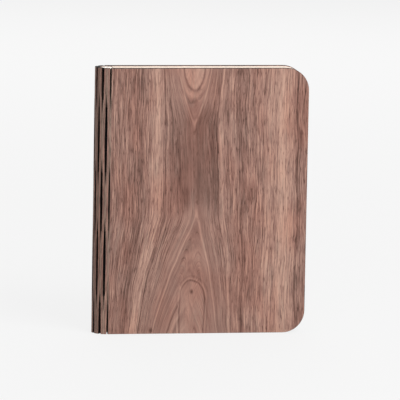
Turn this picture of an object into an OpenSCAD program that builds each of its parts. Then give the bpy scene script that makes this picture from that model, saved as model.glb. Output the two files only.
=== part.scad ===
// Folding book lamp: two walnut covers and a slatted walnut spine, cut from one board,
// close round a pleated paper shade and a slim light bar that is glued inside the spine.
// Origin: centre of the closed lamp's outline on the surface that it stands on.
// +X runs from the spine to the fore-edge, -Y is the front cover's side, +Z is up.

/* [Book] */
// Height of the closed lamp
book_h = 215; // [180:1:250]
// Width from the back of the spine to the fore-edge
book_w = 172; // [150:1:200]
// Radius of the rounded fore-edge corners
corner_r = 18; // [6:1:30]

/* [Covers and spine] */
// Thickness of the walnut board
board_t = 4.2; // [3.6:0.1:4.8]
// Outer radius of the closed spine, half the lamp's thickness
spine_r = 11.5; // [11:0.1:12.5]
// Number of slats round the spine, an odd number
slat_count = 11; // [9:2:13]
// Running gap left on each side of a hinge line
hinge_gap = 0.04; // [0.02:0.01:0.1]
// Angle of the bevel that lets a slat tip each way
bevel_angle = 9.3; // [9.2:0.1:11]
// Further clearance of a cover at its hinge line, where the loop is left open
cover_gap = 0.1; // [0.08:0.02:0.3]

/* [Lattice] */
// Width of a slit at its middle, with the spine laid flat
slit_w = 1.2; // [0.8:0.1:1.4]
// Length of the solid bridges in the first, third and other odd rows
bridge_long = 35; // [25:1:45]
// Length of the solid bridge at the middle of the even rows
bridge_short = 23; // [15:1:30]
// Length of the solid ends of the even rows
bridge_end = 19; // [12:1:25]
// Distance of an odd row's bridges from the lamp's ends, to their centres
bridge_inset = 55; // [45:1:62]

/* [Shade] */
// Number of pleats on each side of the light bar, each one of two panels
pleats = 8; // [4:1:8]
// Thickness of the pleated paper
paper_t = 0.3; // [0.2:0.02:0.34]
// Distance from one folded panel to the next
pleat_pitch = 0.45; // [0.4:0.01:0.46]
// Depth of the folded crease at each end of a panel
crease = 0.35; // [0.2:0.05:1]
// How far the paper stops short of the covers' edges
paper_inset = 0.5; // [0.3:0.1:3]
// Gap between the light bar's front and the inner folds
fold_gap = 0.5; // [0.4:0.1:1.5]

/* [Light bar] */
// Radius of the bar's round back
bar_r = 6.9; // [6.7:0.05:6.9]
// Wall thickness of the bar's channel
bar_wall = 1; // [0.8:0.1:1.2]
// Half width of the diffuser
lens_half = 6.3; // [6.1:0.1:6.4]
// How far the diffuser bulges in front of its seat
lens_rise = 3.6; // [3:0.1:4.5]
// Distance of the diffuser's seat behind the spine's centre line
lens_seat = 1.1; // [0.8:0.1:1.6]
// Thickness of the diffuser at its crown
lens_t = 1; // [0.7:0.1:1.2]
// Width of the diffuser's foot on the channel
lens_foot = 1.4; // [1.2:0.1:1.6]
// Height of each end cap
cap_h = 10; // [8:0.5:14]
// How far the caps stop short of the lamp's ends
cap_inset = 0.5; // [0.3:0.1:2]

/* [Electrics] */
// Thickness of the light-emitting board
led_board_t = 1; // [0.8:0.1:1.6]
// Width of the light-emitting board
led_board_w = 10.4; // [9:0.1:10.6]
// Number of light-emitting diodes
led_count = 24; // [12:1:30]
// Width, length and height of one diode
led_size = [2.8, 3.5, 0.7];
// Thickness of the flat cell
cell_t = 3; // [2:0.1:3.1]
// Width of the flat cell
cell_w = 7.6; // [5:0.1:7.8]
// Room left above and below the flat cell
cell_gap = 3; // [1:0.5:20]
// Thickness of the charging board
charge_board_t = 1; // [0.8:0.1:1.2]
// Width of the charging board
charge_board_w = 7.2; // [6:0.1:7.2]
// Length of the charging board
charge_board_l = 36; // [28:1:38]
// Width, depth and length of the charging socket
socket_size = [8.9, 3.2, 7.3];
// Thickness of the charging socket's shell
socket_wall = 0.3; // [0.2:0.05:0.4]
// Width, length and height of the magnetic sensor
sensor_size = [2.9, 1.5, 1];
// Distance of the sensor from the charging board's upper end
sensor_drop = 8; // [2:1:20]
// Clearance round the boards and the socket in the end cap
seat_gap = 0.1; // [0.05:0.05:0.2]

/* [Magnets] */
// Diameter of a cover magnet
magnet_d = 8; // [6:0.5:12]
// Thickness of a cover magnet
magnet_t = 1.8; // [1:0.1:2.4]
// Distance of the magnets from the fore-edge
magnet_inset = 12; // [10:1:25]
// Distance of the magnets from the lamp's ends
magnet_end = 45; // [35:1:80]
// Clearance round a magnet in its pocket
magnet_gap = 0.1; // [0.05:0.05:0.2]

/* [Hidden] */
$fn = 64;
walnut = "sienna";
paper = "antiquewhite";

// The spine closes on a ring of hinge lines at the middle of the board
hinge_r = spine_r - board_t / 2;
slat_step = 180 / slat_count;
slat_chord = 2 * hinge_r * sin(slat_step / 2);
slat_reach = hinge_r * cos(slat_step / 2);
spine_x = -book_w / 2 + slat_reach + board_t / 2;
cover_w = book_w / 2 - spine_x;
side_slats = (slat_count - 1) / 2;
bevel = board_t / 2 * tan(bevel_angle) + hinge_gap;
slit_steps = 12;

// The paper panels lie between the inner folds and the fore-edge
lens_front = lens_rise - lens_seat;
panel_count = 2 * pleats;
panel_start = lens_front + fold_gap;
panel_end = cover_w - paper_inset;
panel_h = book_h - 2 * paper_inset;
panel_corner_r = corner_r - paper_inset;
panel_gap = 0.02;
loose_panel = 6;
corner_steps = 9;

// The light bar between its two end caps
bar_h = book_h - 2 * (cap_inset + cap_h);
bar_bottom = cap_inset + cap_h;
bar_inner_r = bar_r - bar_wall;
land_w = 1.8;
rail_t = 0.6;
rail_reach = 4.3;
led_board_back = -lens_seat - led_board_t;
led_margin = 4;
cell_bevel = 1.2;
tab_size = [0.8, 4, 6];
tab_x = -5.4;
charge_board_bottom = cap_inset + 1.1;
charge_board_top = charge_board_bottom + charge_board_l;
charge_board_front = -3.4;
cell_bottom = charge_board_top + cell_gap;
cell_top = book_h - bar_bottom - tab_size[2] - cell_gap;

// Places a piece that is drawn for the front on the back as well
module at_back() {
    mirror([0, 1, 0]) children();
}

// Half the width of a slit at a share s of its length, pointed at both ends
function slit_half(s) = slit_w / 2 * (1 - pow(2 * s - 1, 2));

// One pointed slit through the board, centred on a hinge line
module slit(low, high) {
    rotate([90, 0, 0])
        linear_extrude(height = 2 * board_t, center = true)
            polygon(concat(
                [for (k = [0:slit_steps])
                    [slit_half(k / slit_steps), low + (high - low) * k / slit_steps]],
                [for (k = [slit_steps - 1:-1:1])
                    [-slit_half(k / slit_steps), low + (high - low) * k / slit_steps]]));
}

// Row of slits along hinge line j: odd and even rows are staggered like bricks
module slit_row(j) {
    near = bridge_inset - bridge_long / 2;
    far = bridge_inset + bridge_long / 2;
    if (j % 2 == 0) {
        slit(-near, near);
        slit(far, book_h - far);
        slit(book_h - near, book_h + near);
    } else {
        slit(bridge_end, (book_h - bridge_short) / 2);
        slit((book_h + bridge_short) / 2, book_h - bridge_end);
    }
}

// Slat between hinge lines i and i + 1, counted round the spine from the front cover
module slat(i) {
    half = slat_chord / 2;
    edge = half - bevel;
    color(walnut)
        translate([spine_x, 0, 0])
            rotate(180 - (i + 0.5) * slat_step)
                translate([0, slat_reach, 0])
                    difference() {
                        linear_extrude(height = book_h)
                            polygon([[-edge, -board_t / 2], [edge, -board_t / 2],
                                     [half - hinge_gap, 0], [edge, board_t / 2],
                                     [-edge, board_t / 2], [hinge_gap - half, 0]]);
                        translate([-half, 0, 0]) slit_row(i);
                        translate([half, 0, 0]) slit_row(i + 1);
                    }
}

module middle_slat() {
    slat(side_slats);
}

module front_slat(n) {
    slat(n - 1);
}

module back_slat(n) {
    at_back() front_slat(n);
}

// Outline of a cover: square at the spine, rounded at the fore-edge
module cover_outline() {
    difference() {
        square([cover_w, book_h]);
        for (end = [0, 1])
            translate([cover_w - corner_r, end == 0 ? 0 : book_h - corner_r])
                difference() {
                    translate([0, end == 0 ? -corner_r : 0]) square(2 * corner_r);
                    translate([0, end == 0 ? corner_r : 0]) circle(r = corner_r);
                }
    }
}

// Places a cover magnet or its pocket, with the opening towards the paper
module at_magnets() {
    for (z = [magnet_end, book_h - magnet_end])
        translate([book_w / 2 - magnet_inset, board_t - spine_r, z])
            rotate([90, 0, 0]) children();
}

module front_cover() {
    color(walnut)
        difference() {
            translate([spine_x, board_t - spine_r, 0])
                rotate([90, 0, 0])
                    linear_extrude(height = board_t) cover_outline();
            translate([spine_x + cover_gap, -hinge_r, 0]) {
                // Bevels on both sides of the hinge line
                for (side = [-1, 1])
                    linear_extrude(height = book_h)
                        polygon([[-1, 0], [hinge_gap, 0], [bevel, side * board_t / 2],
                                 [bevel, side * board_t], [-1, side * board_t]]);
            }
            translate([spine_x, -hinge_r, 0]) slit_row(0);
            at_magnets()
                translate([0, 0, -1])
                    cylinder(h = magnet_t + magnet_gap + 1, r = magnet_d / 2 + magnet_gap);
        }
}

module back_cover() {
    at_back() front_cover();
}

module front_magnets() {
    color("gainsboro")
        at_magnets()
            translate([0, 0, magnet_gap]) cylinder(h = magnet_t, r = magnet_d / 2);
}

module back_magnets() {
    at_back() front_magnets();
}

// Plan of folded panel k. Its creases turn a quarter of the way to the neighbouring panels
// and meet them at the fold lines, which lie at the very tips of the creases. The inner
// creases after the loose panel are left off, because the loop is open there.
function panel_plan(k) =
    let (y = -(k - 0.5) * pleat_pitch,
         outer = k % 2 == 1 ? -1 : 1,
         face = paper_t / 2,
         tip = pleat_pitch / 2 - panel_gap,
         low_out = outer < 0 ? tip : face,
         high_out = outer > 0 ? tip : face,
         low_in = outer > 0 && k < panel_count && k != loose_panel ? tip : face,
         high_in = outer < 0 && k != loose_panel + 1 ? tip : face)
    [[panel_start, y - low_in], [panel_start + crease, y - low_in],
     [panel_start + crease, y - face], [panel_end - crease, y - face],
     [panel_end - crease, y - low_out], [panel_end, y - low_out],
     [panel_end, y + high_out], [panel_end - crease, y + high_out],
     [panel_end - crease, y + face], [panel_start + crease, y + face],
     [panel_start + crease, y + high_in], [panel_start, y + high_in]];

// Outline of a panel seen from the side, rounded at the fore-edge like the covers
function panel_corner(centre_z, from) =
    [for (s = [0:corner_steps])
        let (angle = from + 90 * s / corner_steps)
        [panel_end - panel_corner_r + panel_corner_r * cos(angle),
         centre_z + panel_corner_r * sin(angle)]];

function panel_outline() = concat(
    [[0, 0]],
    panel_corner(panel_corner_r, -90),
    panel_corner(panel_h - panel_corner_r, 0),
    [[0, panel_h]]);

module front_panel(k) {
    color(paper)
        translate([spine_x, 0, paper_inset])
            intersection() {
                linear_extrude(height = panel_h) polygon(panel_plan(k));
                rotate([90, 0, 0])
                    linear_extrude(height = 4 * spine_r, center = true) polygon(panel_outline());
            }
}

module back_panel(k) {
    at_back() front_panel(k);
}

// Section of the bar's round back, with its land against the middle slat
module channel_section() {
    difference() {
        union() {
            intersection() {
                circle(r = bar_r);
                translate([-bar_r, -bar_r]) square([bar_r - lens_seat, 2 * bar_r]);
            }
            translate([board_t / 2 - slat_reach, -land_w / 2]) square([slat_reach / 2, land_w]);
        }
        difference() {
            circle(r = bar_inner_r);
            // Rails that carry the light-emitting board
            for (side = [-1, 1])
                translate([led_board_back - rail_t, side > 0 ? rail_reach : -bar_r])
                    square([rail_t, bar_r - rail_reach]);
        }
    }
}

// Half ellipse in front of the diffuser's seat
module lens_shape(half, rise) {
    intersection() {
        translate([-lens_seat, 0])
            polygon([for (a = [0:5:355]) [rise * cos(a), half * sin(a)]]);
        translate([-lens_seat, -half]) square([rise, 2 * half]);
    }
}

module bar_channel() {
    color("silver")
        translate([spine_x, 0, bar_bottom])
            linear_extrude(height = bar_h) channel_section();
}

module bar_diffuser() {
    color("white")
        translate([spine_x, 0, bar_bottom])
            linear_extrude(height = bar_h)
                difference() {
                    lens_shape(lens_half, lens_rise);
                    lens_shape(lens_half - lens_foot, lens_rise - lens_t);
                }
}

// Solid section of an end cap, the same outline as the bar
module cap_section() {
    union() {
        intersection() {
            circle(r = bar_r);
            translate([-bar_r, -bar_r]) square([bar_r - lens_seat, 2 * bar_r]);
        }
        lens_shape(lens_half, lens_rise);
        translate([board_t / 2 - slat_reach, -land_w / 2]) square([slat_reach / 2, land_w]);
    }
}

// End cap with the tab that locates it inside the channel
module cap_body() {
    linear_extrude(height = cap_h) cap_section();
    translate([tab_x, -tab_size[1] / 2, cap_h - 1])
        cube([tab_size[0], tab_size[1], tab_size[2] + 1]);
}

module bar_bottom_cap() {
    board = charge_board_w + 2 * seat_gap;
    socket = socket_size[0] + 2 * seat_gap;
    color("whitesmoke")
        translate([spine_x, 0, cap_inset])
            difference() {
                cap_body();
                // Slot for the charging board
                translate([charge_board_front - charge_board_t - seat_gap, -board / 2,
                           charge_board_bottom - cap_inset])
                    cube([charge_board_t + 2 * seat_gap, board, cap_h]);
                // Mouth for the charging socket
                translate([charge_board_front, -socket / 2, -1])
                    cube([socket_size[1] + seat_gap, socket, cap_h + 2]);
            }
}

module bar_top_cap() {
    color("whitesmoke")
        translate([spine_x, 0, book_h - cap_inset])
            mirror([0, 0, 1]) cap_body();
}

module led_board() {
    color("white")
        translate([spine_x + led_board_back, -led_board_w / 2, bar_bottom])
            cube([led_board_t, led_board_w, bar_h]);
}

module leds() {
    pitch = (bar_h - 2 * led_margin - led_size[1]) / (led_count - 1);
    color("khaki")
        for (n = [0:led_count - 1])
            translate([spine_x - lens_seat, -led_size[0] / 2, bar_bottom + led_margin + n * pitch])
                cube([led_size[2], led_size[0], led_size[1]]);
}

// Flat cell against the back of the light-emitting board
module battery_cell() {
    back = led_board_back - cell_t;
    color("steelblue")
        translate([spine_x, 0, cell_bottom])
            linear_extrude(height = cell_top - cell_bottom)
                polygon([[led_board_back, -cell_w / 2], [led_board_back, cell_w / 2],
                         [back + cell_bevel, cell_w / 2], [back, cell_w / 2 - cell_bevel],
                         [back, cell_bevel - cell_w / 2], [back + cell_bevel, -cell_w / 2]]);
}

module charging_board() {
    color("seagreen")
        translate([spine_x + charge_board_front - charge_board_t, -charge_board_w / 2,
                   charge_board_bottom])
            cube([charge_board_t, charge_board_w, charge_board_l]);
}

// Socket shell with its mouth at the bottom and the tongue inside
module charging_socket() {
    w = socket_size[0];
    d = socket_size[1];
    l = socket_size[2];
    tongue_t = 0.7;
    color("lightgray")
        translate([spine_x + charge_board_front, -w / 2, cap_inset + 0.2])
            union() {
                difference() {
                    cube([d, w, l]);
                    translate([socket_wall, socket_wall, -1])
                        cube([d - 2 * socket_wall, w - 2 * socket_wall, l]);
                }
                translate([(d - tongue_t) / 2, w * 0.15, 1]) cube([tongue_t, w * 0.7, l - 1.5]);
            }
}

module magnetic_sensor() {
    color("dimgray")
        translate([spine_x + charge_board_front, -sensor_size[0] / 2, charge_board_top - sensor_drop])
            cube([sensor_size[2], sensor_size[0], sensor_size[1]]);
}

front_cover();
back_cover();
middle_slat();
for (i = [1:side_slats]) {
    front_slat(i);
    back_slat(i);
}
for (k = [1:panel_count]) {
    front_panel(k);
    back_panel(k);
}
bar_channel();
bar_diffuser();
bar_top_cap();
bar_bottom_cap();
led_board();
leds();
battery_cell();
charging_board();
charging_socket();
magnetic_sensor();
front_magnets();
back_magnets();
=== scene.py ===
# %% [markdown]
# # Folding book lamp
# This lesson dresses a lamp that looks like a closed book: two walnut covers and a slit walnut
# spine round a pleated paper shade and a slim light bar. The measured model is loaded first and
# stays as it is. Every later cell gives one of its pieces a finish, or puts a finer piece in its
# place, so the looks can grow without a size ever changing.

# %% Load the measured model
import math

import bpy
from mathutils import Matrix, Vector


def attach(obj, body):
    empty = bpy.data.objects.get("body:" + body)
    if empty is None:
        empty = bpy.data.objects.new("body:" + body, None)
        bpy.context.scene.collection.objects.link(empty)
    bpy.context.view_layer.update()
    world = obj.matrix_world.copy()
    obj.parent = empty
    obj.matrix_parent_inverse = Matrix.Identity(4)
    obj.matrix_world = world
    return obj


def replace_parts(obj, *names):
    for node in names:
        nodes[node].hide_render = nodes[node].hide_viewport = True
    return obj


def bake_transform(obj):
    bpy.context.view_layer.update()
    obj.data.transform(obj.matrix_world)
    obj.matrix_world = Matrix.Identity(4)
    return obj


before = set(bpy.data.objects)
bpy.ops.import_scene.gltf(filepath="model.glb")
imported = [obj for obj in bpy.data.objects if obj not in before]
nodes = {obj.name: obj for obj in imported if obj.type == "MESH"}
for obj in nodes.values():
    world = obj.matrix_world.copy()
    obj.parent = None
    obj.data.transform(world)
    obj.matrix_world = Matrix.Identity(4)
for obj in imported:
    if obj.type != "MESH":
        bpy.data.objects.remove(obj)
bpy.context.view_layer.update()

# %% [markdown]
# ## Sizes
# The sizes repeat those of the measured model. Some could be read off its boxes, but a slat's angle
# or a slit's length can't, so all are written out once, in millimetres, because those are easiest
# to read. Blender works in metres, so `mm` turns one into the other at the last moment.

# %% Sizes of the book
mm = 0.001
book_h = 215.0
book_w = 172.0
corner_r = 18.0
board_t = 4.2
spine_r = 11.5
slat_count = 11

hinge_r = spine_r - board_t / 2
slat_step = math.pi / slat_count
slat_chord = 2 * hinge_r * math.sin(slat_step / 2)
slat_reach = hinge_r * math.cos(slat_step / 2)
spine_x = -book_w / 2 + slat_reach + board_t / 2
cover_w = book_w / 2 - spine_x
print("spine line at", round(spine_x, 3), "cover", round(cover_w, 3), "slat", round(slat_chord, 3))

# %% [markdown]
# ## Camera
# The photograph was taken from far away with a long lens, a little from the left and from above.
# A camera could be aimed by eye, but then no edge would quite lie where the photograph has it. So
# its place was fitted to the outlines of the book. The long lens keeps upright edges nearly
# parallel, as they are on the photograph.

# %% Camera at the photograph's angle
view_turn = math.radians(9.053)
view_fall = math.radians(8.457)
view_roll = math.radians(1.018)
view_distance = 3409.5
# Pixels of the photograph: its lens, its side, and where the book's middle lies in it
focal_px = 4233.73
frame_px = 400
axis_px = (199.106, 199.317)

look = Vector((math.sin(view_turn) * math.cos(view_fall),
               math.cos(view_turn) * math.cos(view_fall), -math.sin(view_fall)))
level = Vector((math.cos(view_turn), -math.sin(view_turn), 0))
upright = level.cross(look)
right = math.cos(view_roll) * level + math.sin(view_roll) * upright
up = -math.sin(view_roll) * level + math.cos(view_roll) * upright
sideways = (frame_px / 2 - axis_px[0]) * view_distance / focal_px
downwards = (frame_px / 2 - axis_px[1]) * view_distance / focal_px
place = Vector((0, 0, book_h / 2)) - view_distance * look + sideways * right - downwards * up

camera = bpy.data.objects.new("camera", bpy.data.cameras.new("camera"))
bpy.context.scene.collection.objects.link(camera)
camera.matrix_world = Matrix((
    (right.x, up.x, -look.x, place.x * mm),
    (right.y, up.y, -look.y, place.y * mm),
    (right.z, up.z, -look.z, place.z * mm),
    (0, 0, 0, 1)))
camera.data.sensor_width = 36
camera.data.lens = focal_px / frame_px * camera.data.sensor_width
camera.data.clip_end = 50
bpy.context.scene.camera = camera
print("camera at", [round(v, 3) for v in camera.matrix_world.translation],
      "lens", round(camera.data.lens, 1))

# %% [markdown]
# ## Colours as seen
# Colours are read off a screen, where 0 to 255 isn't in step with light. Blender mixes light, so
# each colour is turned into linear values first. Linear values could be typed in directly, but
# nobody can read them back as a colour.

# %% Screen colour to linear light
def srgb(red, green, blue):
    """Colour as read off a screen, 0 to 255, as the linear light that Blender mixes."""
    def linear(value):
        value = value / 255
        return value / 12.92 if value <= 0.04045 else ((value + 0.055) / 1.055) ** 2.4
    return (linear(red), linear(green), linear(blue), 1.0)


print("screen grey 128 is", round(srgb(128, 128, 128)[0], 3), "of full light")

# %% [markdown]
# ## Sums of nodes
# A procedural finish is a sum: places on the piece go in, colours and heights come out. It could be
# drawn in the node editor, but a script can be read from top to bottom. Written out plainly, every
# node takes four lines, so these helpers make a node in one line and return its output.

# %% Nodes that calculate
class Sums:
    """Short calls that each add one calculating node to a node tree."""

    def __init__(self, tree):
        self.tree = tree

    def add(self, kind, **settings):
        node = self.tree.nodes.new(kind)
        for key, value in settings.items():
            setattr(node, key, value)
        return node

    def feed(self, node, socket, value):
        """Link a node's output to a socket, or set the socket's own value."""
        if isinstance(value, bpy.types.NodeSocket):
            self.tree.links.new(value, node.inputs[socket])
        else:
            node.inputs[socket].default_value = value

    def math(self, operation, first, second=0.0, third=0.0):
        """One step of arithmetic with numbers or outputs."""
        node = self.add("ShaderNodeMath", operation=operation)
        self.feed(node, 0, first)
        self.feed(node, 1, second)
        if operation == "MULTIPLY_ADD":
            self.feed(node, 2, third)
        return node.outputs[0]

    def steps(self, value, low, high, to_low=0.0, to_high=1.0):
        """Smooth step of a value between two levels."""
        node = self.add("ShaderNodeMapRange", interpolation_type="SMOOTHSTEP")
        for socket, level_value in (("Value", value), ("From Min", low), ("From Max", high),
                                    ("To Min", to_low), ("To Max", to_high)):
            self.feed(node, socket, level_value)
        return node.outputs[0]

    def bell(self, value, centre, half_width):
        """1 at the centre, falling to 0 at half_width on both sides."""
        away = self.math("ABSOLUTE", self.math("SUBTRACT", value, centre))
        return self.steps(away, half_width, 0.0)

    def split(self, vector):
        """The x, y and z outputs of a vector."""
        node = self.add("ShaderNodeSeparateXYZ")
        self.feed(node, 0, vector)
        return node.outputs

    def join(self, x, y, z):
        node = self.add("ShaderNodeCombineXYZ")
        for socket, value in zip("XYZ", (x, y, z)):
            self.feed(node, socket, value)
        return node.outputs[0]


print("sums", [name for name in vars(Sums) if not name.startswith("_")])

# %% [markdown]
# ## Finishes
# A finish is a material whose shader is fed by such sums. Noise makes it uneven, a ramp or a mix
# gives it colours, and bump gives it relief. A new material brings a ready shader along, but here
# every finish starts from an empty tree, so that all that is in it stands in this lesson.

# %% A finish and its colours
class Finish(Sums):
    """A material, its shader, and the nodes that make colours and relief."""

    def __init__(self, name):
        self.material = bpy.data.materials.new(name)
        self.material.use_nodes = True
        super().__init__(self.material.node_tree)
        self.tree.nodes.clear()
        self.shader = self.add("ShaderNodeBsdfPrincipled")
        output = self.add("ShaderNodeOutputMaterial")
        self.feed(output, "Surface", self.shader.outputs[0])

    def object_place(self):
        return self.add("ShaderNodeTexCoord").outputs["Object"]

    def noise(self, vector, scale=1.0, detail=2.0, roughness=0.5):
        node = self.add("ShaderNodeTexNoise")
        for socket, value in (("Vector", vector), ("Scale", scale), ("Detail", detail),
                              ("Roughness", roughness)):
            self.feed(node, socket, value)
        return node.outputs[0]

    def ramp(self, value, stops):
        """Colour ramp from (level, colour) pairs."""
        node = self.add("ShaderNodeValToRGB")
        self.feed(node, 0, value)
        elements = node.color_ramp.elements
        while len(elements) < len(stops):
            elements.new(0.5)
        for element, (level_value, colour) in zip(elements, stops):
            element.position = level_value
            element.color = colour
        return node.outputs[0]

    def mix(self, share, first, second, blend="MIX"):
        node = self.add("ShaderNodeMix", data_type="RGBA", blend_type=blend)
        for socket, value in ((0, share), (6, first), (7, second)):
            self.feed(node, socket, value)
        return node.outputs[2]

    def bump(self, height, strength, distance):
        """Relief: `distance` is the real height, in metres, of one unit of `height`."""
        node = self.add("ShaderNodeBump")
        for socket, value in (("Height", height), ("Strength", strength), ("Distance", distance)):
            self.feed(node, socket, value)
        self.feed(self.shader, "Normal", node.outputs[0])

    def set(self, **sockets):
        """Feed the shader's sockets by name, with _ for a blank."""
        for name, value in sockets.items():
            self.feed(self.shader, name.replace("_", " "), value)


def dress(finish, *pieces):
    """Give pieces this finish in place of what they had."""
    for piece in pieces:
        piece.data.materials.clear()
        piece.data.materials.append(finish.material)


print("finish helpers", [name for name in vars(Finish) if not name.startswith("_")])

# %% [markdown]
# ## Floor
# The book stands on a plain pale floor. A white floor would throw light back up at the object, so
# this one is dark to the object and pale only to the eye: its glow is seen by camera, gloss and
# glass rays alone. Just enough of its own grey is left to hold the object's shadow.

# %% The floor
floor_reach = 12.0
floor_drop = 0.2 * mm
floor_grey = 0.1
floor_glow = 0.883

floor_mesh = bpy.data.meshes.new("floor")
floor_mesh.from_pydata([(-floor_reach, -floor_reach, 0), (floor_reach, -floor_reach, 0),
                        (floor_reach, floor_reach, 0), (-floor_reach, floor_reach, 0)],
                       [], [(0, 1, 2, 3)])
floor = bpy.data.objects.new("floor", floor_mesh)
bpy.context.scene.collection.objects.link(floor)
floor.location.z = -floor_drop

floor_finish = Finish("pale_floor")
rays = floor_finish.add("ShaderNodeLightPath").outputs
mirrored_rays = floor_finish.math("MAXIMUM", rays["Is Glossy Ray"], rays["Is Transmission Ray"])
seen = floor_finish.math("MAXIMUM", rays["Is Camera Ray"], mirrored_rays)
floor_finish.set(Roughness=0.9, Specular_IOR_Level=0.0,
                 Base_Color=(floor_grey, floor_grey, floor_grey, 1),
                 Emission_Color=srgb(246, 246, 246),
                 Emission_Strength=floor_finish.math("MULTIPLY", seen, floor_glow))
dress(floor_finish, floor)
print("floor", 2 * floor_reach, "m wide")

# %% [markdown]
# ## Light
# The photograph has soft studio light. One lamp alone would leave the round of the spine black, so
# three lamps and a pale world share the work. A large one from the right and above gives the cover
# its even brightness and leaves the spine darker, a weaker one from the left fills it in, and one
# behind serves the back cover.

# %% Lamps and world
def soft_lamp(name, place, size, power):
    """Rectangular lamp, aimed at the lower middle of the book: metres and watts."""
    lamp = bpy.data.objects.new(name, bpy.data.lights.new(name, "AREA"))
    bpy.context.scene.collection.objects.link(lamp)
    lamp.data.shape = "RECTANGLE"
    lamp.data.size, lamp.data.size_y = size
    lamp.data.energy = power
    lamp.location = place
    aim = Vector((0, 0, 0.1)) - Vector(place)
    lamp.rotation_euler = aim.to_track_quat("-Z", "Y").to_euler()
    return lamp


lamps = [soft_lamp("key_lamp", (1.0, -1.6, 1.5), (1.6, 1.2), 37),
         soft_lamp("fill_lamp", (-0.5, -2.0, 0.9), (1.2, 1.2), 8),
         soft_lamp("back_lamp", (0.4, 2.2, 1.3), (1.8, 1.2), 20)]
world = bpy.data.worlds.new("studio")
bpy.context.scene.world = world
world.use_nodes = True
sky = world.node_tree.nodes["Background"].inputs
sky["Color"].default_value = (1, 1, 1, 1)
sky["Strength"].default_value = 0.53
bpy.context.scene.view_settings.view_transform = "Standard"
print("lamps", [(lamp.name, lamp.data.energy) for lamp in lamps])

# %% [markdown]
# ## Walnut: places on the sheet
# The real boards are faced with one sheet of walnut, so the grain runs over covers and slats
# without a break. Object coordinates would stay straight where the spine bends. So every point of
# the boards carries a `grain` attribute with its place on the flat sheet, in metres. The back cover
# mirrors the front one about the middle slat, as a book-matched veneer does.

# %% Reading a point's place on the sheet
veneer_half = slat_count / 2 * slat_chord


def veneer_place(wood):
    """Millimetres across the sheet from the book's middle, and up from its foot."""
    grain = wood.add("ShaderNodeAttribute", attribute_name="grain").outputs["Vector"]
    across, _, height = wood.split(grain)
    mirrored = wood.math("ABSOLUTE", across)
    return (wood.math("MULTIPLY_ADD", mirrored, 1 / mm, spine_x - veneer_half),
            wood.math("MULTIPLY", height, 1 / mm))


def stretched(wood, x, z, width, length, detail=2.0, roughness=0.5, shift=0.0):
    """Noise from -0.5 to 0.5 whose grains are `width` mm wide and `length` mm long."""
    place = wood.join(wood.math("MULTIPLY", x, 1 / width), shift,
                      wood.math("MULTIPLY", z, 1 / length))
    return wood.math("SUBTRACT", wood.noise(place, 1.0, detail, roughness), 0.5)


print("the flat cover starts", round(veneer_half, 2), "mm from the middle of the spine")

# %% [markdown]
# ## Walnut: growth rings
# A flat-sawn board cuts the growth rings, which are long cones, almost lengthwise. Up the middle
# they show as pointed arches, one set from the foot and one from the head, and at the sides as
# nearly straight lines. A wave texture gives even stripes and no arches. So a number is made that
# is the same all along one ring: the distance from the heart line, less the width that the arch has
# reached at this height. Slow noise bends it, because no tree is drawn with a ruler.

# %% The ring that a point lies on
# Millimetres that the heart line lies to the left of the middle, and further at both ends
heart_left, lean_foot, lean_head = 4.5, 8.0, 2.6
# Strength of the noise that bends the rings in long waves and in short ones
long_bend, short_bend = 6.0, 1.6
# Heights of the tips of the two sets of arches, how round the tips are, and how fast they widen
foot_tip, head_tip = 100.0, 168.0
foot_rounding, head_rounding = 14.0, 5.0
arch_slope = 0.4
# Distance from the heart line at which the arches have faded out: from the foot they spread further
# to the left than to the right
foot_spread, head_spread = (88.0, 52.0), 30.0
# Square millimetres that round off the distance from the heart line close to it
heart_rounding = 1.4


def arch_width(wood, distance, rounding):
    """Half width of an arch so far from its tip: opens slowly over `rounding` mm, then evenly."""
    far = wood.math("MAXIMUM", distance, 0.0)
    grown = wood.math("MULTIPLY", wood.math("MULTIPLY", far, far), arch_slope)
    return wood.math("DIVIDE", grown, wood.math("ADD", far, rounding))


def heart_offset(wood, x, z):
    """Millimetres to the right of the heart line, which leans to the left at both ends."""
    # The lean is gone between 100 and 110 mm up, and beyond 60 mm to either side
    lean = wood.math("ADD", wood.steps(z, 0.0, 100.0, lean_foot, 0.0),
                     wood.steps(z, 110.0, 200.0, 0.0, lean_head))
    lean = wood.math("MULTIPLY", lean, wood.steps(wood.math("ABSOLUTE", x), 8.0, 60.0, 1.0, 0.0))
    offset = wood.math("ADD", wood.math("ADD", x, heart_left), lean)
    offset = wood.math("MULTIPLY_ADD", stretched(wood, x, z, 30, 70), long_bend, offset)
    return wood.math("MULTIPLY_ADD", stretched(wood, x, z, 7, 26, shift=4.0), short_bend, offset)


def ring_field(wood, x, z):
    """Which side of the heart a point lies on, from -1 to 1, and its ring in mm."""
    offset = heart_offset(wood, x, z)
    away = wood.math("ABSOLUTE", offset)
    spread = wood.steps(offset, -3.0, 3.0, *foot_spread)
    foot_arch = arch_width(wood, wood.math("SUBTRACT", foot_tip, z), foot_rounding)
    head_arch = arch_width(wood, wood.math("SUBTRACT", z, head_tip), head_rounding)
    gain = wood.math("ADD",
                     wood.math("MULTIPLY", foot_arch, wood.steps(away, 12.0, spread, 1.0, 0.0)),
                     wood.math("MULTIPLY", head_arch,
                               wood.steps(away, 6.0, head_spread, 1.0, 0.0)))
    rounded = wood.math("SQRT", wood.math("MULTIPLY_ADD", offset, offset, heart_rounding))
    side = wood.math("MINIMUM", wood.math("MAXIMUM", wood.math("DIVIDE", offset, 8.0), -1.0), 1.0)
    return side, wood.math("SUBTRACT", rounded, gain)


print("arches end", foot_tip, "and", head_tip, "mm up, heart", heart_left, "mm left of the middle")

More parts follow.
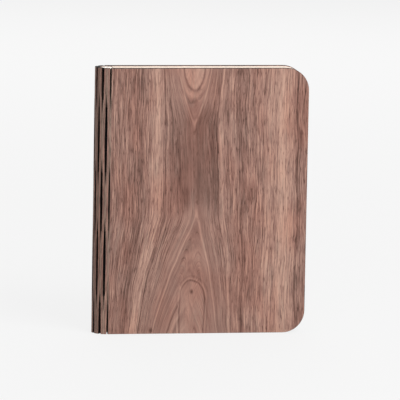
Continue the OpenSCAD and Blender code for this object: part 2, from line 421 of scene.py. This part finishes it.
# %% [markdown]
# ## Walnut: bands and streaks
# Between fine growth bands a board has a few broad streaks that give it its face. Noise alone makes
# a board, but never this one. So the bands come from noise along the ring number, and each streak
# of this board is a line in a table: its ring, counted negative on the left of the heart, its half
# width in mm, and its tone, above zero for lighter.

# %% Bands and streaks
streaks = [(-64, 9, 4), (-45, 4, -18), (-32, 8, 30), (-24.5, 1.4, -20), (18.2, 1.2, -24),
           (21.5, 3.2, 24), (38, 5, -22), (56, 8, 8), (70, 16, 34), (82, 1.6, -36)]
# How fast the bands' noise changes for each mm across the rings, and for each mm up the board
bands_across, bands_up = 0.3, 0.004


def band_tones(wood, z, side, ring, signed):
    """Tones of growth bands and streaks."""
    band_place = wood.join(wood.math("MULTIPLY", ring, bands_across), side,
                           wood.math("MULTIPLY", z, bands_up))
    band = wood.noise(band_place, detail=3.0, roughness=0.62)
    tones = [(wood.math("SUBTRACT", band, 0.5), 90.0)]
    tones += [(wood.bell(signed, centre, width), tone) for centre, width, tone in streaks]
    # Both sides of the board are a little darker, and so is the heart between the arches
    tones += [(wood.steps(signed, 82.0, 84.0), -7.0), (wood.steps(signed, -34.0, -52.0), -9.0)]
    waist = wood.math("MULTIPLY", wood.steps(z, 92.0, 118.0), wood.steps(z, 194.0, 168.0))
    tones.append((wood.math("MULTIPLY", waist, wood.steps(ring, 26.0, 12.0)), -26.0))
    return tones


print("streaks", len(streaks))

# %% [markdown]
# ## Walnut: arches and knots
# The innermost arches end in rounded tongues at the foot and the head of the board. They are too
# few to come from noise, so each is an ellipse of its own, with a light filling, a dark outline and
# paler lines round it. Knots are small dark ellipses. A little noise in the tongues' outlines keeps
# them from looking drawn.

# %% Arches and knots
# Middle across and up, half width and half height of the tongues in mm
foot_tongue, crown_tongue = (-6.6, 30.0, 9.9, 13.0), (-7.1, 216.0, 8.4, 18.0)
# Distance from a tongue's middle, where 1 is its outline, then half the line's width and its tone
foot_lines = [(1.02, 0.09, -26), (1.28, 0.1, -12), (1.13, 0.08, 12)]
crown_lines = [(1.02, 0.12, -34), (1.5, 0.16, -14), (1.25, 0.14, 12)]
# Middle, half width and half height as above, and the tone
knots = [(-6.7, 34.2, 2.0, 3.2, -70), (-39.5, 2.7, 2.4, 3.4, -60), (-13.5, 110.0, 5.5, 17.0, -26)]


def oval(wood, x, z, middle_x, middle_z, half_width, half_height):
    """1 on the outline of an ellipse, less inside and more outside."""
    dx = wood.math("DIVIDE", wood.math("SUBTRACT", x, middle_x), half_width)
    dz = wood.math("DIVIDE", wood.math("SUBTRACT", z, middle_z), half_height)
    return wood.math("SQRT", wood.math("MULTIPLY_ADD", dx, dx, wood.math("MULTIPLY", dz, dz)))


def arch_tones(wood, x, z, ring):
    """Tones of the arches, their tongues and the knots."""
    low = wood.steps(z, foot_tip + 4, foot_tip - 2)
    high = wood.steps(z, head_tip - 4, head_tip + 2)
    mottle = stretched(wood, x, z, 12, 22, shift=8.0)
    wobble = wood.math("MULTIPLY", mottle, 0.3)
    # Below its middle the tongue at the foot runs straight down to the edge
    foot = oval(wood, x, wood.math("MAXIMUM", z, foot_tongue[1]), *foot_tongue)
    crown = oval(wood, x, z, *crown_tongue)
    foot, crown = wood.math("ADD", foot, wobble), wood.math("ADD", crown, wobble)
    tones = [(mottle, 24.0), (wood.steps(foot, 1.0, 0.86), 13), (wood.steps(crown, 0.98, 0.8), 18)]
    for zone, line, tone in ((low, wood.bell(ring, 0.9, 1.1), 24),
                             (low, wood.bell(ring, 3.4, 1.8), -12),
                             (high, wood.bell(ring, 0.9, 1.3), 26),
                             (high, wood.steps(ring, 0.6, -1.4), 15)):
        tones.append((wood.math("MULTIPLY", zone, line), tone))
    tones += [(wood.bell(foot, centre, half), tone) for centre, half, tone in foot_lines]
    tones += [(wood.bell(crown, centre, half), tone) for centre, half, tone in crown_lines]
    tones += [(wood.steps(oval(wood, x, z, *knot[:4]), 1.0, 0.0), knot[4]) for knot in knots]
    return tones


print("lines round the tongues", len(foot_lines) + len(crown_lines), "knots", len(knots))

# %% [markdown]
# ## Walnut: colour
# Walnut has fibres about a millimetre wide and short dark pores. Both follow the rings, so their
# noise is stretched along the ring number and not straight up the board. Inside the arches, where
# the cut runs flat to the rings, they are quieter. All tones add up to one level, and a colour ramp
# turns it into browns. Two weak noises make some fibres redder and some greyer, and a painted
# highlight lightens the slats' rounded edges to grey. Bump sinks the pores a tenth of a millimetre.

# %% The walnut finish
browns = [(0.0, srgb(84, 58, 50)), (0.25, srgb(124, 90, 79)), (0.5, srgb(158, 121, 109)),
          (0.75, srgb(191, 150, 134)), (1.0, srgb(214, 172, 152))]
level_at_zero, level_per_tone = 0.545, 0.0078
# The last colour is the painted highlight on the slats' rounded edges
redder, greyer, highlight_grey = srgb(250, 222, 214), srgb(234, 243, 244), srgb(154, 141, 126)
# Millimetres from a hinge line: the painted highlight is full up to the first and gone from the
# second
highlight_full_to, highlight_gone_from = 0.65, 1.0
# Past the last hinge line the painted highlight goes only this far onto the cover
highlight_on_cover = 0.8


def slat_edge_highlight(wood, x):
    """Painted highlight: 1 on the slats' rounded edges beside the hinge lines, 0 elsewhere."""
    across = wood.math("ADD", x, veneer_half - spine_x)
    # Ping-pong runs from 0 at one hinge line to half a slat's width and back to 0 at the next
    line = wood.math("PINGPONG", wood.math("ADD", across, slat_chord / 2), slat_chord / 2)
    on_spine = wood.math("LESS_THAN", across, veneer_half + highlight_on_cover)
    return wood.math("MULTIPLY", wood.steps(line, highlight_gone_from, highlight_full_to), on_spine)


def walnut_finish():
    wood = Finish("walnut")
    x, z = veneer_place(wood)
    side, ring = ring_field(wood, x, z)
    signed = wood.math("MULTIPLY", ring, side)
    # Quieter inside the arches and at the heart, where the ring number is low
    lively = wood.steps(ring, 0.0, 24.0, 0.32, 1.0)
    fibre = stretched(wood, signed, z, 0.95, 24, detail=3.0, roughness=0.68, shift=2.0)
    pores = stretched(wood, signed, z, 0.6, 8, roughness=0.6, shift=5.0)
    pores = wood.steps(pores, 0.05, 0.16)
    tones = band_tones(wood, z, side, ring, signed) + arch_tones(wood, x, z, ring)
    tones += [(wood.math("MULTIPLY", fibre, lively), 255.0),
              (wood.math("MULTIPLY", pores, lively), -50.0)]
    total = 0.0
    for shape, tone in tones:
        total = wood.math("MULTIPLY_ADD", shape, tone, total)
    colour = wood.ramp(wood.math("MULTIPLY_ADD", total, level_per_tone, level_at_zero), browns)
    warm = wood.steps(stretched(wood, x, z, 26, 70, shift=11.0), -0.12, 0.16)
    colour = wood.mix(wood.math("MULTIPLY", warm, 0.5), colour, redder, "MULTIPLY")
    grey = wood.steps(stretched(wood, signed, z, 1.7, 30, roughness=0.6, shift=14.0), 0.0, 0.14)
    colour = wood.mix(wood.math("MULTIPLY", grey, 0.6), colour, greyer, "MULTIPLY")
    # Painted highlight: the slats' rounded edges lightened to grey
    colour = wood.mix(wood.math("MULTIPLY", slat_edge_highlight(wood, x), 0.35), colour, highlight_grey)
    wood.set(Base_Color=colour, Roughness=wood.math("MULTIPLY_ADD", pores, 0.2, 0.5),
             Specular_IOR_Level=0.3)
    relief = wood.math("SUBTRACT", wood.math("MULTIPLY", fibre, 0.5), pores)
    wood.bump(relief, 0.25, 0.12 * mm)
    return wood


walnut = walnut_finish()
print("walnut nodes", len(walnut.tree.nodes))

# %% [markdown]
# ## Cut edges
# The board is cut by a laser, which scorches its edges nearly black and leaves them dull. A plain
# black would look like paint, so fine noise mixes soot and char and roughens the surface a little.

# %% The scorched finish
def scorched_finish():
    char = Finish("scorched_edge")
    soot = char.noise(char.object_place(), scale=900.0, detail=4.0, roughness=0.6)
    char.set(Base_Color=char.ramp(soot, [(0.3, srgb(12, 9, 8)), (0.7, srgb(38, 29, 25))]),
             Roughness=0.8, Specular_IOR_Level=0.2)
    char.bump(soot, 0.3, 0.1 * mm)
    return char


scorched = scorched_finish()
print("scorched nodes", len(scorched.tree.nodes))

# %% [markdown]
# ## Slits
# The spine bends because twelve rows of pointed slits turn it into a lattice, staggered like
# bricks. They could be cut with a boolean, which leaves ragged meshes. Here one function gives the
# half width of a row's slit at any height, and the slats, the covers and the bridges between them
# are all drawn from it, so that they always meet.

# %% The slit rows
# Widths of a slit and of one next to a cover, and how bluntly a slit ends
slit_w, end_slit_w = 1.45, 0.9
slit_point = 1.7
# Even rows have two long bridges, inset from the ends, and odd rows a short one in the middle
# and one more at either end
bridge_long, bridge_inset = 35.0, 55.0
bridge_short, bridge_end = 23.0, 19.0
# Half the width, at a hinge line, of the wood that bends
web_half = 0.45
# Shares of a slit's length at which its sides get points
slit_marks = (0, 0.02, 0.05, 0.1, 0.16, 0.25, 0.37, 0.5, 0.63, 0.75, 0.84, 0.9, 0.95, 0.98, 1)


def slits_of(row):
    """Lower and upper ends of the slits on a hinge line."""
    near, far = bridge_inset - bridge_long / 2, bridge_inset + bridge_long / 2
    if row % 2 == 0:
        return [(-near, near), (far, book_h - far), (book_h - near, book_h + near)]
    middle = (book_h - bridge_short) / 2
    return [(bridge_end, middle), (book_h - middle, book_h - bridge_end)]


def slit_half(row, z):
    """Half the width of a row's slit at height z, or 0 where the wood is whole."""
    widest = end_slit_w if row in (0, slat_count) else slit_w
    for low, high in slits_of(row):
        if low < z < high:
            share = (z - low) / (high - low)
            return widest / 2 * (1 - abs(2 * share - 1) ** slit_point)
    return 0.0


def heights(*rows):
    """Heights at which a piece beside these rows gets a ring of points, closer at slit ends."""
    levels = {0.0, book_h}
    for row in rows:
        for low, high in slits_of(row):
            for share in slit_marks:
                levels.add(round(min(max(low + share * (high - low), 0.0), book_h), 4))
    return sorted(levels)


print("slits in even and odd rows", [len(slits_of(row)) for row in range(2)])

# %% [markdown]
# ## Boards
# Every piece of board is a list of points and a list of faces. Modelling in edit mode would be
# quicker once, but eleven slats and twelve rows of bridges must agree to a tenth of a millimetre.
# So these helpers turn such lists into an object, and place a point of the flat sheet round the
# ring of hinge lines. Faces are marked 0 for walnut and 1 for scorched.

# %% Helpers for pieces of board
def new_piece(name, points, faces, body, finishes, marks=None, grain=None):
    """Object from points in mm. It rides on `body`, unless that is None.

    marks gives the number of each face's finish, grain each point's place on the sheet in mm."""
    mesh = bpy.data.meshes.new(name)
    mesh.from_pydata([tuple(c * mm for c in point) for point in points], [], faces)
    if grain:
        attribute = mesh.attributes.new("grain", "FLOAT_VECTOR", "POINT")
        attribute.data.foreach_set("vector", [c * mm for point in grain for c in point])
    for finish in finishes:
        mesh.materials.append(finish.material)
    if marks:
        mesh.polygons.foreach_set("material_index", marks)
    piece = bpy.data.objects.new(name, mesh)
    bpy.context.scene.collection.objects.link(piece)
    if body:
        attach(piece, body)
    return piece


def slat_point(index, s, v, z):
    """Point on slat `index`: s along the ring, v outwards from the board's middle."""
    turn = math.pi - (index + 0.5) * slat_step
    reach = slat_reach + v
    return (spine_x + s * math.cos(turn) - reach * math.sin(turn),
            s * math.sin(turn) + reach * math.cos(turn), z)


def slat_grain(index, s, v, z):
    """The same point on the flat sheet."""
    return ((slat_count / 2 - index - 0.5) * slat_chord - s, v, z)


print("middle slat's back at x", round(slat_point(slat_count // 2, 0, board_t / 2, 0)[0], 3))

# %% [markdown]
# ## Slats
# A slat is a thin bar of the board, waisted where slits pass on either side. It is lofted: a ring
# of eight points, a rectangle with tiny chamfers, is repeated up the slat and gets narrower at the
# slits. A bevel modifier would put chamfers on the slits' points as well and fold the mesh there.

# %% Slats of the spine
chamfer = 0.12


def slat_piece(name, index, body):
    """Slat between hinge lines `index` and `index + 1`."""
    points, grain, faces, marks = [], [], [], []
    half, t = slat_chord / 2, board_t / 2
    # Of the ring's eight sides, two are the board's faces, and the others are cut edges
    size, walnut_sides = 8, (1, 5)
    levels = heights(index, index + 1)
    for z in levels:
        low = -half + max(web_half, slit_half(index, z))
        high = half - max(web_half, slit_half(index + 1, z))
        ring = [(low, -t + chamfer), (low + chamfer, -t), (high - chamfer, -t), (high, -t + chamfer),
                (high, t - chamfer), (high - chamfer, t), (low + chamfer, t), (low, t - chamfer)]
        points += [slat_point(index, s, v, z) for s, v in ring]
        grain += [slat_grain(index, s, v, z) for s, v in ring]
    for k in range(len(levels) - 1):
        for n in range(size):
            a, b = size * k + n, size * k + (n + 1) % size
            faces.append((a, b, b + size, a + size))
            marks.append(0 if n in walnut_sides else 1)
    faces += [tuple(range(size - 1, -1, -1)), tuple(range(len(points) - size, len(points)))]
    marks += [1, 1]
    return new_piece(name, points, faces, body, [walnut, scorched], marks, grain)


slats_a_side = slat_count // 2
slat_names = (["front_slat_%d" % (i + 1) for i in range(slats_a_side)] + ["middle_slat"]
              + ["back_slat_%d" % i for i in range(slats_a_side, 0, -1)])
slat_bodies = [name if name != "middle_slat" else "light_bar" for name in slat_names]
for index, (node_name, body) in enumerate(zip(slat_names, slat_bodies)):
    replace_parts(slat_piece(node_name + "_wood", index, body), node_name)
print("slats", len(slat_names))

# %% [markdown]
# ## Bridges: places on the bent wood
# Between two slats the lattice leaves bridges of wood. A straight block would stand out of the
# round spine, so a bridge is a thin strip of columns whose turn changes step by step from one slat
# to the next. It exists only at heights where no slit is open.

# %% Places on a bridge
bridge_columns = 4
# Wood that is thinner than this beside the end of a slit is left out
least_wood = 0.02


def bridge_point(row, share, v, z):
    """Point of the bent wood: share runs from -1 at one slat, over the hinge line, to 1."""
    axis_turn = math.pi - row * slat_step
    turn = axis_turn - slat_step * max(-0.5, min(0.5, share * 0.5))
    s = web_half * share
    return (spine_x - hinge_r * math.sin(axis_turn) + s * math.cos(turn) - v * math.sin(turn),
            hinge_r * math.cos(axis_turn) + s * math.sin(turn) + v * math.cos(turn), z)


def bridge_grain(row, share, v, z):
    """The same point on the flat sheet."""
    return ((slat_count / 2 - row) * slat_chord - share * web_half, v, z)


def solid_runs(row):
    """Runs of heights over which the row has wood beside its hinge line."""
    runs = [[]]
    for z in heights(row):
        if slit_half(row, z) < web_half - least_wood:
            runs[-1].append(z)
        elif runs[-1]:
            runs.append([])
    return [run for run in runs if len(run) > 1]


print("runs of wood in even and odd rows", [len(solid_runs(row)) for row in (2, 3)])

# %% [markdown]
# ## Bridges: over the hinge lines
# When the spine opens, each bridge twists between its two slats. A piece that rode on one slat
# would tear from the other, so the ten inner rows ride on no body here. A blend needs a joint
# between its two bodies. There is none between a cover and the slat beside it, so the two outer rows
# ride on the covers.


def bridge_piece(name, row):
    """Every bridge on hinge line `row` in two halves, with the prongs beside the slit ends."""
    points, grain, faces, marks = [], [], [], []
    t, size = board_t / 2, 2 * (bridge_columns + 1)
    for side in (-1, 1):
        for run in solid_runs(row):
            first = len(points)
            for z in run:
                inner = slit_half(row, z) / web_half
                shares = [side * (inner + (1 - inner) * k / bridge_columns)
                          for k in range(bridge_columns + 1)]
                ring = [(share, -t) for share in shares] + [(share, t) for share in shares[::-1]]
                points += [bridge_point(row, share, v, z) for share, v in ring]
                grain += [bridge_grain(row, share, v, z) for share, v in ring]
            strip = []
            for k in range(len(run) - 1):
                for n in range(size):
                    a, b = first + size * k + n, first + size * k + (n + 1) % size
                    strip.append((a, b, b + size, a + size))
                    # The ring's two short sides are scorched
                    marks.append(1 if n in (bridge_columns, size - 1) else 0)
            strip += [tuple(range(first + size - 1, first - 1, -1)),
                      tuple(range(len(points) - size, len(points)))]
            marks += [1, 1]
            faces += strip if side > 0 else [face[::-1] for face in strip]
    return new_piece(name, points, faces, None, [walnut, scorched], marks, grain)


for row in range(slat_count + 1):
    bridge = bridge_piece("bridge_row_%d" % row, row)
    if row in (0, slat_count):
        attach(bridge, "front_cover" if row == 0 else "back_cover")
    else:
        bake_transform(bridge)
print("bridge rows", slat_count + 1)

# %% [markdown]
# ## Covers: the outline
# A cover is a flat board with two round corners at the fore-edge. At the hinge line the half slits
# of the first row bite into its edge. A cube with a bevel has no such bites, so the outline is
# drawn as a line of points, and a second line runs a chamfer's width inside it.

# %% Outline of a cover
corner_steps = 12
# Least cosine of half a corner's turn, so that a sharp corner can't throw its inset point far away
least_cosine = 0.4


def cover_outline():
    """Outline in the cover's plane, counter-clockwise, from the lower fore-edge corner."""
    outline = []
    for middle_z, start in ((corner_r, -90), (book_h - corner_r, 0)):
        for step in range(corner_steps + 1):
            angle = math.radians(start + 90 * step / corner_steps)
            outline.append((cover_w - corner_r + corner_r * math.cos(angle),
                            middle_z + corner_r * math.sin(angle)))
    return outline + [(max(web_half, slit_half(0, z)), z) for z in reversed(heights(0))]


def inset(outline, distance):
    """The same outline, moved inwards."""
    result = []
    for k, (x1, y1) in enumerate(outline):
        (x0, y0), (x2, y2) = outline[k - 1], outline[(k + 1) % len(outline)]
        before = Vector((y1 - y0, x0 - x1)).normalized()
        after = Vector((y2 - y1, x1 - x2)).normalized()
        normal = (before + after).normalized()
        stretch = distance / max(least_cosine, normal.dot(before))
        result.append((x1 - normal.x * stretch, y1 - normal.y * stretch))
    return result


print("outline points", len(cover_outline()))

# %% [markdown]
# ## Covers: the boards
# Four outlines are stacked: small, full, full, small. That gives the board its thickness and a
# chamfer on both faces. Extruding in edit mode would do as well, but here the same lists also carry
# each point's place on the sheet. The faces are walnut, the cut edge between them is scorched.

# %% The two covers
def cover_piece(name, side, body):
    """side is -1 for the front cover and 1 for the back cover."""
    outline = cover_outline()
    small = inset(outline, chamfer)
    count = len(outline)
    layers = [(small, spine_r - board_t), (outline, spine_r - board_t + chamfer),
              (outline, spine_r - chamfer), (small, spine_r)]
    points, grain, faces, marks = [], [], [], []
    for ring, out in layers:
        points += [(spine_x + x, side * out, z) for x, z in ring]
        grain += [(-side * (veneer_half + x), out - hinge_r, z) for x, z in ring]
    for layer in range(len(layers) - 1):
        for k in range(count):
            a, b = layer * count + k, layer * count + (k + 1) % count
            faces.append((a, a + count, b + count, b))
            marks.append(1)
    faces += [tuple(range(count)), tuple(range(len(points) - 1, len(points) - count - 1, -1))]
    marks += [0, 0]
    if side < 0:
        faces = [face[::-1] for face in faces]
    return new_piece(name, points, faces, body, [walnut, scorched], marks, grain)


for name, side in (("front_cover", -1), ("back_cover", 1)):
    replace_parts(cover_piece(name + "_wood", side, name), name)
print("covers", round(cover_w, 1), "mm wide and", board_t, "mm thick")

# %% [markdown]
# ## Paper
# The shade is cream paper with a dull, slightly uneven surface. One flat colour would look like
# plastic. So a broad noise shifts the cream a little from place to place, and a fine one is the
# pulp, which only the bump feels.

# %% The paper finish
def paper_finish():
    sheet = Finish("pleated_paper")
    place = sheet.object_place()
    cloud = sheet.steps(sheet.noise(place, scale=90.0, detail=3.0), 0.3, 0.7)
    pulp = sheet.noise(place, scale=700.0, detail=4.0, roughness=0.6)
    sheet.set(Base_Color=sheet.mix(cloud, srgb(252, 237, 222), srgb(249, 233, 217)),
              Roughness=0.85, Specular_IOR_Level=0.25)
    sheet.bump(pulp, 0.2, 0.1 * mm)
    return sheet


paper = paper_finish()
print("paper nodes", len(paper.tree.nodes))

# %% [markdown]
# ## Pleats: a panel in plan
# A folded sheet of paper has no sharp corner: at each fold it runs round a tiny nose. The whole
# shade could be one zigzag strip, but then nothing could turn about its folds. So every panel is a
# strip of its own with a quarter of a nose at either end. Two neighbours make a round fold between
# them and still turn about the fold line when the lamp opens.

# %% Middle line of a panel
pleats_a_side = 8
panel_count = 2 * pleats_a_side
# The shade stays this far inside the covers' outline
shade_gap = 0.5
panel_start, panel_end = 3.0, cover_w - shade_gap
pleat_pitch, paper_t = 0.45, 0.3
nose_r = pleat_pitch / 2
# Angles of the points on a nose, which stops just short of the fold line
nose_turns = [math.radians(90 - a) for a in (0, 18, 36, 54, 72, 85)]
# The shade has no inner fold after this panel
loose_panel = 6
flat_end = 0.4


def nose(middle_x, fold_y, out, side):
    """Quarter turn from the sheet to the fold line: points of the sheet's middle and normals.

    out is 1 at the fore-edge and -1 at the bar, side is 1 where the sheet lies above the fold."""
    return [((middle_x + out * nose_r * math.cos(a), fold_y + side * nose_r * math.sin(a)),
             (out * math.cos(a), side * math.sin(a))) for a in nose_turns]


def panel_middle(k, end):
    """Middle line of panel k from its inner end to its outer end at `end`, in plan."""
    y = -(k - 0.5) * pleat_pitch
    side = 1 if k % 2 else -1
    outer = nose(end - nose_r - paper_t / 2, y - side * nose_r, 1, side)
    if k in (panel_count, loose_panel, loose_panel + 1):
        # No fold joins the inner ends of these panels to a neighbour, so they end flat
        return [((x, y), (0, side)) for x in (panel_start, panel_start + flat_end)] + outer
    inner = nose(panel_start + nose_r + paper_t / 2, y + side * nose_r, -1, -side)
    return [(point, (-nx, -ny)) for point, (nx, ny) in reversed(inner)] + outer


print("points on a panel's middle line", len(panel_middle(1, panel_end)))

# %% [markdown]
# ## Pleats: the panels
# Seen from the side a panel follows the round corners of the covers. Cutting a flat strip with a
# boolean would lose the nose at the corners. So the strip is lofted upwards level by level, and at
# each level its middle line ends where the corner lets it, nose and all.

# %% The panels of the pleated shade
panel_low, panel_high = shade_gap, book_h - shade_gap
panel_corner_r = corner_r - shade_gap
rises = [panel_corner_r * (1 - math.cos(math.radians(a))) for a in range(0, 91, 9)]
panel_levels = [panel_low + rise for rise in rises] + [panel_high - rise for rise in rises[::-1]]


def panel_reach(z):
    """Where a panel ends at height z."""
    drop = max(panel_low + panel_corner_r - z, z - panel_high + panel_corner_r, 0.0)
    return panel_end - panel_corner_r + math.sqrt(max(panel_corner_r ** 2 - drop ** 2, 0.0))


def panel_piece(name, k, mirror, body):
    """mirror is 1 for the front and -1 for the back."""
    points, faces = [], []
    for z in panel_levels:
        line = panel_middle(k, panel_reach(z))
        left = [(x + nx * paper_t / 2, y + ny * paper_t / 2) for (x, y), (nx, ny) in line]
        right = [(x - nx * paper_t / 2, y - ny * paper_t / 2) for (x, y), (nx, ny) in line]
        points += [(spine_x + x, mirror * y, z) for x, y in left + right[::-1]]
    size = 2 * len(line)
    for level in range(len(panel_levels) - 1):
        for n in range(size):
            a, b = level * size + n, level * size + (n + 1) % size
            faces.append((a, b, b + size, a + size))
    # Foot and head are closed between the panel's left and right sides, step by step
    last = len(points) - size
    for n in range(len(line) - 1):
        faces.append((size - 1 - n, size - 2 - n, n + 1, n))
        faces.append((last + n, last + n + 1, last + size - 2 - n, last + size - 1 - n))
    # Odd and even panels run the opposite way round, and so do front and back ones
    if (mirror > 0) == (k % 2 == 1):
        faces = [face[::-1] for face in faces]
    return new_piece(name, points, faces, body, [paper])


for side, mirror in (("front", 1), ("back", -1)):
    for k in range(1, panel_count + 1):
        node_name = "%s_panel_%d" % (side, k)
        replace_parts(panel_piece(node_name + "_sheet", k, mirror, node_name), node_name)
print("panels", 2 * panel_count)

# %% [markdown]
# ## Light bar: plain finishes
# The measured solids of the light bar, its electrics and the magnets have the right shapes, so they
# only get finishes. Each is one colour with a fine speckle of the same hue and a shallow relief, as
# moulded plastic, anodised metal and lacquered boards have. One table holds them all, because they
# differ in colour, roughness and metal alone.

# %% Finishes of the electrics and magnets
def fine_finish(name, roughness, metal=0.0):
    """Finish with a fine relief, and the speckle that it comes from."""
    finish = Finish(name)
    speck = finish.noise(finish.object_place(), scale=900.0, detail=4.0, roughness=0.6)
    finish.set(Roughness=roughness, Metallic=metal)
    finish.bump(speck, 0.15, 0.05 * mm)
    return finish, speck


def plain_finish(name, colour, roughness, metal):
    finish, speck = fine_finish(name, roughness, metal)
    darker = tuple(c * 0.88 for c in colour[:3]) + (1.0,)
    finish.set(Base_Color=finish.mix(speck, darker, colour))
    return finish


plain_parts = [
    # The channel's near-black is painted shade, seen through the slits
    ("channel_aluminium", srgb(38, 38, 40), 0.4, 1.0, ["bar_channel"]),
    ("white_board", srgb(232, 234, 230), 0.4, 0.0, ["led_board"]),
    ("diode_phosphor", srgb(226, 200, 92), 0.3, 0.0, ["leds"]),
    ("cell_foil", srgb(176, 180, 188), 0.35, 1.0, ["battery_cell"]),
    ("green_board", srgb(24, 92, 50), 0.35, 0.0, ["charging_board"]),
    ("socket_steel", srgb(190, 190, 190), 0.3, 1.0, ["charging_socket"]),
    ("black_plastic", srgb(34, 34, 35), 0.5, 0.0, ["magnetic_sensor"]),
    ("magnet_nickel", srgb(205, 202, 195), 0.2, 1.0, ["front_magnets", "back_magnets"])]
for name, colour, roughness, metal, part_names in plain_parts:
    dress(plain_finish(name, colour, roughness, metal), *[nodes[part] for part in part_names])
print("plain finishes", len(plain_parts))

# %% [markdown]
# ## Light bar: diffuser and caps
# Behind the slits the bar is painted black as shade, so that the closed spine shows dark lines. The
# diffuser is opal only across its front, with painted shade black on its flanks, and the caps are
# white only on their ends, with painted shade black round them. Splitting the solids would make two
# pieces of what is one, so the masks are drawn by place: one colour near a middle plane, another
# further out.

# %% Two-tone finishes of the diffuser and the caps
# Black painted shade for the diffuser's and caps' flanks, seen through the slits
painted_shade_black = srgb(22, 22, 23)
opal_white = srgb(243, 241, 236)
cap_white = srgb(247, 234, 219)
mask_blur = 0.4
across_book, upwards = 1, 2


def masked_finish(name, roughness, axis, middle, edge, near, further):
    """Colour `near` up to `edge` mm from the plane at `middle` along an axis, then `further`."""
    finish, _ = fine_finish(name, roughness)
    place = finish.split(finish.object_place())[axis]
    away = finish.math("ABSOLUTE", finish.math("SUBTRACT", place, middle * mm))
    mask = finish.steps(away, edge * mm, (edge + mask_blur) * mm)
    finish.set(Base_Color=finish.mix(mask, near, further))
    return finish


opal = masked_finish("opal_diffuser", 0.3, across_book, middle=0.0, edge=5.0,
                     near=opal_white, further=painted_shade_black)
# The caps' flanks get the painted shade black, and only their ends are white
cap = masked_finish("white_cap", 0.4, upwards, middle=book_h / 2, edge=106.2,
                    near=painted_shade_black, further=cap_white)
dress(opal, nodes["bar_diffuser"])
dress(cap, nodes["bar_top_cap"], nodes["bar_bottom_cap"])
print("masked finishes", opal.material.name, cap.material.name)
